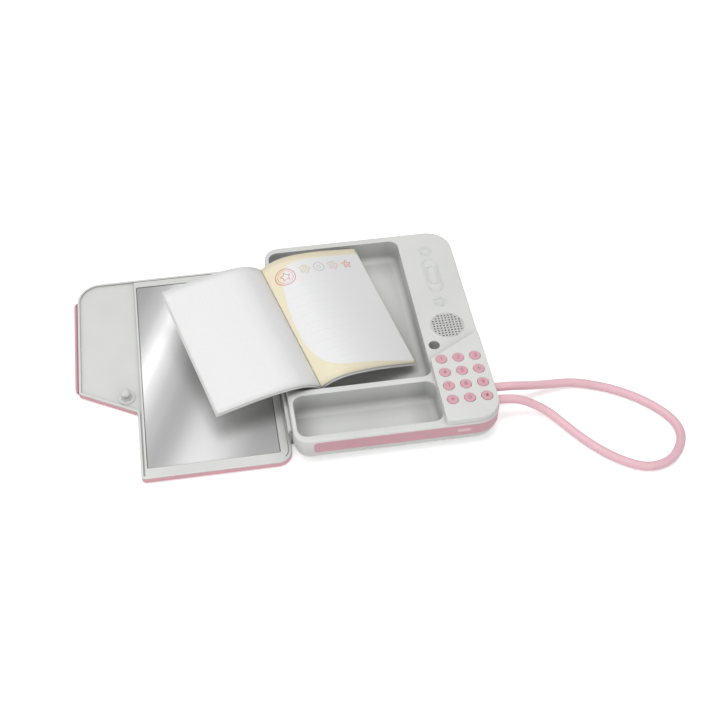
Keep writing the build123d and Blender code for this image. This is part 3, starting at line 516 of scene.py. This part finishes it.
def silvered(name):
    """Mirror film: soft metal with a painted reflection: its colour is
    brighter and duller in slanting bands."""
    material, tree, shader = blank(name)
    sway = ramp(tree, noise(tree, 9, 1), 0.0, 1.0, -0.002, 0.002)
    where = combine(tree, "ADD", dot(tree, place_of(tree), SLANT), sway)
    first, last = REFLECTION_BANDS[0][0], REFLECTION_BANDS[-1][0]
    # painted reflection: the bands' tones go into the base colour
    bands = tree.nodes.new("ShaderNodeValToRGB")
    bands.color_ramp.interpolation = "CARDINAL"
    stops = bands.color_ramp.elements
    for place, _ in REFLECTION_BANDS[1:-1]:
        stops.new((place - first) / (last - first))
    for stop, (_, tone) in zip(stops, REFLECTION_BANDS):
        stop.color = (tone, tone, tone, 1)
    tree.links.new(ramp(tree, where, first, last), bands.inputs["Fac"])
    specks = ramp(tree, noise(tree, 700, 5, 0.6), 0.68, 0.74, 0.0, 0.3)
    tone = mix(tree, specks, bands.outputs["Color"], rgb(205, 206, 207))
    tree.links.new(tone, shader.inputs["Base Color"])
    set_inputs(shader, {"Metallic": 0.45})
    tree.links.new(ramp(tree, noise(tree, 30, 4), 0.35, 0.7, 0.42, 0.50), shader.inputs["Roughness"])
    return material


# The pink shell has shade painted along the crease beside its finger lip.
dress(plastic("cover plastic", rgb(223, 168, 178), rough=0.4, crease=LIP_CREASE), "lid_cover")
dress(plastic("post plastic", rgb(214, 215, 212), rough=0.34), "latch_post")
dress(silvered("mirror"), "mirror")
# The lid's tray takes the same painted recess shade.
dress(SHADED_MOULDING, "lid_liner")
dress(RUBBER, "mirror_pad")
dress(STEEL, "hinge_pin")


# ------------------------------------------------------------------ cord
# The wrist cord is a round pink plastic cord held by two ferrules. It is
# an open spline over the same corner points as the tube in the CAD, from
# its upper port round the loop to the lower one.
CORD_TURNS = [(143.6, 33.3, 16.75), (154.0, 33.3, 16.75), (170.5, 35.4, 11.4), (187.5, 38.6, 6.2),
              (205.0, 40.6, 3.1), (227.0, 32.4, 3.1), (244.6, 21.2, 3.1), (257.8, 8.0, 3.1),
              (265.8, -5.0, 3.1), (265.8, -18.5, 3.1), (257.6, -30.9, 3.1), (248.0, -37.8, 3.1),
              (234.8, -39.6, 3.1), (222.6, -34.4, 3.1), (209.6, -24.0, 3.1), (197.6, -9.9, 3.1),
              (188.2, 5.0, 3.1), (179.4, 15.8, 5.6), (167.6, 21.4, 10.4), (154.5, 22.3, 16.75),
              (143.6, 22.3, 16.75)]
CORD_LENGTH, CORD_DIAMETER = 0.3125, 0.0062
CORD = plastic("cord plastic", rgb(238, 194, 203), rough=0.45, grain=0.3, grain_size=1500, wear=0.0)
dress(BAND, "cord_ports")
dress(CORD, "wrist_cord")

curve = bpy.data.curves.new("wrist loop", "CURVE")
curve.dimensions = "3D"
curve.bevel_depth = CORD_DIAMETER / 2
curve.bevel_resolution = 6
curve.resolution_u = 12
curve.render_resolution_u = 12
spline = curve.splines.new("NURBS")
spline.points.add(len(CORD_TURNS) - 1)
for point, turn in zip(spline.points, CORD_TURNS):
    point.co = (*at(*turn), 1.0)
spline.order_u = 3
spline.use_endpoint_u = True
loop = into_scene("wrist_loop", curve, "casing", CORD)
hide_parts("wrist_cord")


# -------------------------------------------------------------- notebook
# Two arched halves meet in the gutter. Each is a block of leaves, white
# to the left and cream to the right, glued on a cover card.
YAW, PITCH, ROLL = math.radians(13.44), math.radians(6.0), math.radians(4.9)
along = np.array([-math.sin(YAW) * math.cos(PITCH), math.cos(YAW) * math.cos(PITCH), math.sin(PITCH)])
level = np.array([math.cos(YAW), math.sin(YAW), 0.0])
across = level * math.cos(ROLL) - np.cross(level, along) * math.sin(ROLL)
upward = np.cross(across, along)
gutter = at(21.6, 48.2, 20.6)
PAGE_WIDTH, PAGE_LENGTH, CARD_THICK, SEAM = 76.0, 113.0, 0.5, 0.1
LEFT_LEAVES, RIGHT_LEAVES, OVERHANG = 1.3, 1.9, 0.8
GUTTER_GAP, TIGHT_BEND = 0.2, 12.0      # the leaves start here, and bend most up to there
GUTTER_SLIDE = (3.2, -0.4)              # shift of the gutter's front and back end
SLOPE, PAINTED_SLOPE_SHADE = (0.05, 0.33), 0.86  # how far a leaf leans right, and what painted shade leaves of its tone
EDGE_LINES, EDGE_STRETCH = 16.0, 6.0    # the leaf edges' pattern through the block, and along it
# height of the leaves over their chord, in mm, at shares of their width
RISE = [(0.0, 0.0), (0.08, 4.8), (0.30, 8.6), (0.62, 6.2), (1.0, 0.0)]


def paper(name, colour, edge_lines=False):
    """Uncoated paper: fibre mottling and a soft tooth; edges show leaves.
    Where a leaf slopes down to the right it takes a little painted shade."""
    material, tree, shader = blank(name)
    tone = mix(tree, ramp(tree, noise(tree, 900, 5, 0.65), 0.35, 0.65), scaled(colour, 0.965), colour)
    # painted shade: leaves that slope down to the right are darkened, as if lit from the left
    lean = part_of(tree, place_of(tree, "Normal"), "X")
    tone = mix(tree, ramp(tree, lean, *SLOPE), tone, scaled(colour, PAINTED_SLOPE_SHADE))
    if edge_lines:
        layer = tree.nodes.new("ShaderNodeAttribute")
        layer.attribute_name = "layer"
        wave = noise(tree, 1.0, 1, vector=layer.outputs["Vector"])
        tone = mix(tree, ramp(tree, wave, 0.38, 0.62), scaled(colour, 0.72), tone)
    tree.links.new(tone, shader.inputs["Base Color"])
    tree.links.new(bump(tree, noise(tree, 1400, 4), 0.25, 0.00008), shader.inputs["Normal"])
    set_inputs(shader, {"Roughness": 0.62, "Subsurface Weight": 0.08,
                        "Subsurface Radius": (0.001, 0.001, 0.0009), "Subsurface Scale": 0.4})
    return material


def arch(share):
    """Height of the leaves over their chord: a cubic through RISE with a
    smooth bend at each point, solved from its second differences."""
    x = np.array([p[0] for p in RISE])
    y = np.array([p[1] for p in RISE])
    h = np.diff(x)
    a = np.zeros((5, 5))
    b = np.zeros(5)
    a[0, :3] = (h[1], -(h[0] + h[1]), h[0])
    a[4, 2:] = (h[3], -(h[2] + h[3]), h[2])
    for i in (1, 2, 3):
        a[i, i - 1:i + 2] = (h[i - 1], 2 * (h[i - 1] + h[i]), h[i])
        b[i] = 6 * ((y[i + 1] - y[i]) / h[i] - (y[i] - y[i - 1]) / h[i - 1])
    m = np.linalg.solve(a, b)
    s = np.clip(np.asarray(share, float), 0, 1)
    k = np.clip(np.searchsorted(x, s, side="right") - 1, 0, 3)
    u, v = x[k + 1] - s, s - x[k]
    return ((m[k] * u ** 3 + m[k + 1] * v ** 3) / (6 * h[k]) + (y[k] / h[k] - m[k] * h[k] / 6) * u
            + (y[k + 1] / h[k] - m[k + 1] * h[k] / 6) * v)


def leaf(side, u, v, lift):
    """A point on a half: u from the gutter, v along it, lift over it. The
    front end of the gutter is drawn a little to the right, so the left
    half slides with it and the right half bunches up."""
    u, v, lift = np.broadcast_arrays(np.asarray(u, float), np.asarray(v, float), np.asarray(lift, float))
    height = arch(u / PAGE_WIDTH) + lift
    slide = GUTTER_SLIDE[0] + (GUTTER_SLIDE[1] - GUTTER_SLIDE[0]) * v / PAGE_LENGTH
    sideways = side * u + slide * np.where(side > 0, 1 - u / PAGE_WIDTH, 1.0)
    return gutter + MM * (sideways[..., None] * across + v[..., None] * along + height[..., None] * upward)


def half_body(side):
    """Which CAD body a half of the notebook rides on."""
    return "notebook_back" if side > 0 else "notebook_front"


def on_half(obj, side):
    """Puts a piece on a half, with a mesh of its own."""
    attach(obj, half_body(side))
    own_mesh(obj)
    return obj


def leaf_block(side, name, top, thick, overhang, material, edge_material):
    """One half's leaves or card: the leaf surface at two depths, joined
    round its rim. A card reaches past the leaves at its side and front
    and ends flush at the back, where the shut book lies close to the
    compartment's round foot."""
    u = np.append(np.linspace(GUTTER_GAP, TIGHT_BEND, 14)[:-1], np.linspace(TIGHT_BEND, PAGE_WIDTH, 26))
    if overhang:
        u = np.append(u, PAGE_WIDTH + overhang)
    v = np.linspace(-overhang, PAGE_LENGTH - overhang / 2, 20)
    uu, vv = np.meshgrid(u, v, indexing="ij")
    upper = leaf(side, uu, vv, -top).reshape(-1, 3)
    lower = leaf(side, uu, vv, -top - thick).reshape(-1, 3)
    count = len(upper)
    index = np.arange(count).reshape(uu.shape)
    rim = np.concatenate([index[:, 0], index[-1, 1:], index[::-1, -1][1:], index[0, ::-1][1:-1]])
    after = np.roll(rim, -1)
    faces = np.vstack([cells(*uu.shape), cells(*uu.shape, count)[:, ::-1],
                       np.stack([rim, rim + count, after + count, after], -1)])
    on_edge = np.arange(len(faces)) >= len(faces) - len(rim)
    mesh = new_mesh(name, np.vstack([upper, lower]), faces[:, ::side].tolist())
    mesh.materials.append(material)
    mesh.materials.append(edge_material)
    mesh.polygons.foreach_set("material_index", on_edge.astype(np.int32))
    mesh.polygons.foreach_set("use_smooth", ~on_edge)
    spread = np.tile(upper @ across * EDGE_STRETCH, 2)
    depth = np.repeat([0.0, EDGE_LINES], count)
    layer = mesh.attributes.new("layer", "FLOAT_VECTOR", "POINT")
    layers = np.stack([spread, np.zeros(2 * count), depth], -1)
    layer.data.foreach_set("vector", layers.astype(np.float32).ravel())
    return on_half(into_scene(name, mesh), side)


WHITE_PAPER = paper("white paper", rgb(240, 240, 240))
CREAM_PAPER = paper("cream paper", rgb(240, 231, 203))
PAPER_EDGE = paper("leaf edges", rgb(236, 235, 233), edge_lines=True)
CARD = plastic("cover card", rgb(222, 222, 220), rough=0.55, grain=0.3)
dress(WHITE_PAPER, "notebook_back_pages", "notebook_front_pages")
dress(CARD, "notebook_back_cover", "notebook_front_cover")
right_leaves = leaf_block(1, "right_leaves", 0, RIGHT_LEAVES, 0, CREAM_PAPER, PAPER_EDGE)
left_leaves = leaf_block(-1, "left_leaves", 0, LEFT_LEAVES, 0, WHITE_PAPER, PAPER_EDGE)
right_card = leaf_block(1, "right_card", RIGHT_LEAVES + SEAM, CARD_THICK, OVERHANG, CARD, CARD)
left_card = leaf_block(-1, "left_card", LEFT_LEAVES + SEAM, CARD_THICK, OVERHANG, CARD, CARD)
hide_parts("notebook_back_pages")
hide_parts("notebook_front_pages")
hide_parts("notebook_back_cover")
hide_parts("notebook_front_cover")


# ----------------------------------------------------------------- print
# The right-hand leaf carries a white writing field with ruled lines, and
# over them a round badge and a row of small signs, all printed. Places
# are in mm: u across the leaf from the gutter, v along it.
FIELD_LEFT, FIELD_RIGHT, FIELD_FRONT, FIELD_BACK, FIELD_FALL = 2.8, 75.6, 1.5, 107.5, 8.7
FRONT_CORNER, BACK_CORNER, CORNER_FADE = (22.0, 3.5), (19.5, 7.4), 5.0
FIELD_COLUMNS, FIELD_ROWS, CROWDING = 48, 36, 1.8
FIELD_LIFT, RULE_LIFT, SIGN_LIFT = 0.05, 0.09, 0.1
RULES, RULE_FRONT, RULE_PITCH, RULE_WIDTH = 9, 15.0, 8.6, 0.18
RULE_LEFT, RULE_INDENT, RULE_MARGIN = 8.5, 6, 3
BADGE, SIGN_FIRST, SIGN_PITCH = (12.0, 95.5), (28.0, 98.0), 11.5
SIGN_RADIUS, SIGN_EYE, SIGN_STROKE, EYE_STROKE = 4.0, 1.3, 0.45, 0.35
STROKE_STEP = 0.8


def rounding(u, depth, start):
    """How far a round corner at the gutter cuts in at u: by depth at its
    start, and less and less to the right, as an exponential."""
    return depth * np.exp((start - u) / CORNER_FADE)


def field_floor(u):
    """Front edge of the writing field: it falls slowly to the right and
    rises in a wide round corner at the gutter."""
    return FIELD_FRONT + FIELD_FALL * (1 - u / PAGE_WIDTH) + rounding(u, *FRONT_CORNER)


def field_top(u):
    """Back edge of the writing field: straight, with a round corner."""
    return FIELD_BACK - rounding(u, *BACK_CORNER)


def stroke(points, width, lift=SIGN_LIFT):
    """A ribbon along a line on the right-hand leaf, with a point at every
    step, so that it follows the arch."""
    p = np.asarray(points, float)
    pieces = []
    for a, b in zip(p[:-1], p[1:]):
        count = max(1, math.ceil(np.linalg.norm(b - a) / STROKE_STEP))
        pieces.append(a + (b - a) * np.linspace(0, 1, count, endpoint=False)[:, None])
    sides = ribbon(np.vstack([*pieces, p[-1:]]), width)
    return leaf(1, sides[..., 0], sides[..., 1], lift)


def printed(name, strips, material):
    """Several ribbons joined into one printed piece."""
    mesh = ribbon_mesh(name, strips)
    mesh.materials.append(material)
    return on_half(into_scene(name, mesh), 1)


def rule(k):
    """The k-th ruled line from the front. The first two start further in,
    past the field's round corner."""
    v = RULE_FRONT + RULE_PITCH * k
    start = RULE_LEFT + RULE_INDENT * max(0, 2 - k)
    return stroke([(start, v), (FIELD_RIGHT - RULE_MARGIN, v)], RULE_WIDTH, RULE_LIFT)


def ring(u, v, r):
    """Points on a circle."""
    return arc(u, v, r, r, 0, 360, 28)


def star(u, v, r):
    """A five-pointed star: the radius is full and short by turns."""
    angle = np.pi / 2 + np.arange(11) * np.pi / 5
    radius = np.where(np.arange(11) % 2, 0.48 * r, r)
    return np.stack([u + radius * np.cos(angle), v + radius * np.sin(angle)], -1)


# the columns crowd towards the gutter, where the corners are round
column = np.linspace(0, 1, FIELD_COLUMNS)[:, None] ** CROWDING
uu = FIELD_LEFT + (FIELD_RIGHT - FIELD_LEFT) * column * np.ones((1, FIELD_ROWS))
vv = field_floor(uu) + (field_top(uu) - field_floor(uu)) * np.linspace(0, 1, FIELD_ROWS)[None, :]
field = grid_mesh("writing field", leaf(1, uu, vv, FIELD_LIFT), WHITE_PAPER)
on_half(into_scene("writing_field", field), 1)
printed("ruled_lines", [rule(k) for k in range(RULES)], ink("pale rule ink", rgb(214, 218, 216)))
printed("round_badge", [stroke(ring(*BADGE, 7.2), 0.55), stroke(ring(*BADGE, 5.6), 0.3),
                        stroke(star(*BADGE, 4.0), SIGN_STROKE)], ink("red ink", rgb(210, 104, 94)))
SIGNS = [("sign_flower", petals, rgb(206, 192, 100)), ("sign_drop", ring, rgb(170, 177, 172)),
         ("sign_ring", petals, rgb(216, 160, 160)), ("sign_star", star, rgb(210, 106, 88))]
for k, (name, outline, colour) in enumerate(SIGNS):
    place = (SIGN_FIRST[0] + SIGN_PITCH * k, SIGN_FIRST[1])
    strips = [stroke(outline(*place, SIGN_RADIUS), SIGN_STROKE), stroke(ring(*place, SIGN_EYE), EYE_STROKE)]
    printed(name, strips, ink(name + " ink", colour))


# ----------------------------------------------------------------- stage
# A pale floor keeps the shadow before a white surround. Three soft lamps
# light it: the key at the upper left, a wide fill in front, one overhead.
FLOOR_HALF, FLOOR_DROP, FLOOR_GLOW = 3, 0.0002, 0.42
WHITE, HORIZON, OVERHEAD = (1, 1, 1, 1), (0.80, 0.80, 0.80, 1), (0.24, 0.24, 0.242, 1)
# name, place in metres, size in metres and power in watts of each lamp
LAMPS = [("key_lamp", (-0.6, -0.2, 1.2), 0.8, 4.8), ("front_lamp", (0.1, -1.2, 0.8), 1.2, 3.3),
         ("top_lamp", (0.0, 0.1, 1.6), 0.9, 9.7)]

corners = [(x * FLOOR_HALF, y * FLOOR_HALF, 0) for x, y in ((-1, -1), (1, -1), (1, 1), (-1, 1))]
material, tree, shader = blank("floor")
set_inputs(shader, {"Base Color": (0.93, 0.93, 0.93, 1), "Roughness": 0.9, "Specular IOR Level": 0.1,
                    "Emission Color": WHITE})
to_camera = tree.nodes.new("ShaderNodeLightPath").outputs["Is Camera Ray"]
tree.links.new(ramp(tree, to_camera, 0, 1, 0, FLOOR_GLOW), shader.inputs["Emission Strength"])
floor = into_scene("floor", new_mesh("floor", corners, [(0, 1, 2, 3)]), material=material)
floor.location.z = -FLOOR_DROP

for name, place, size, power in LAMPS:
    lamp = bpy.data.objects.new(name, bpy.data.lights.new(name, "AREA"))
    lamp.data.shape = "DISK"
    lamp.data.size = size
    lamp.data.energy = power
    bpy.context.scene.collection.objects.link(lamp)
    aim(lamp, place, (0, 0, 0))

world = bpy.data.worlds.new("surround")
bpy.context.scene.world = world
world.use_nodes = True
sky = world.node_tree
rays = sky.nodes.new("ShaderNodeLightPath").outputs
seen = combine(sky, "MAXIMUM", rays["Is Camera Ray"], rays["Is Glossy Ray"])
height = part_of(sky, place_of(sky, "Generated"), "Z")
light = mix(sky, ramp(sky, height, 0.05, 0.45), HORIZON, OVERHEAD)
sky.links.new(mix(sky, seen, light, WHITE), sky.nodes["Background"].inputs["Color"])
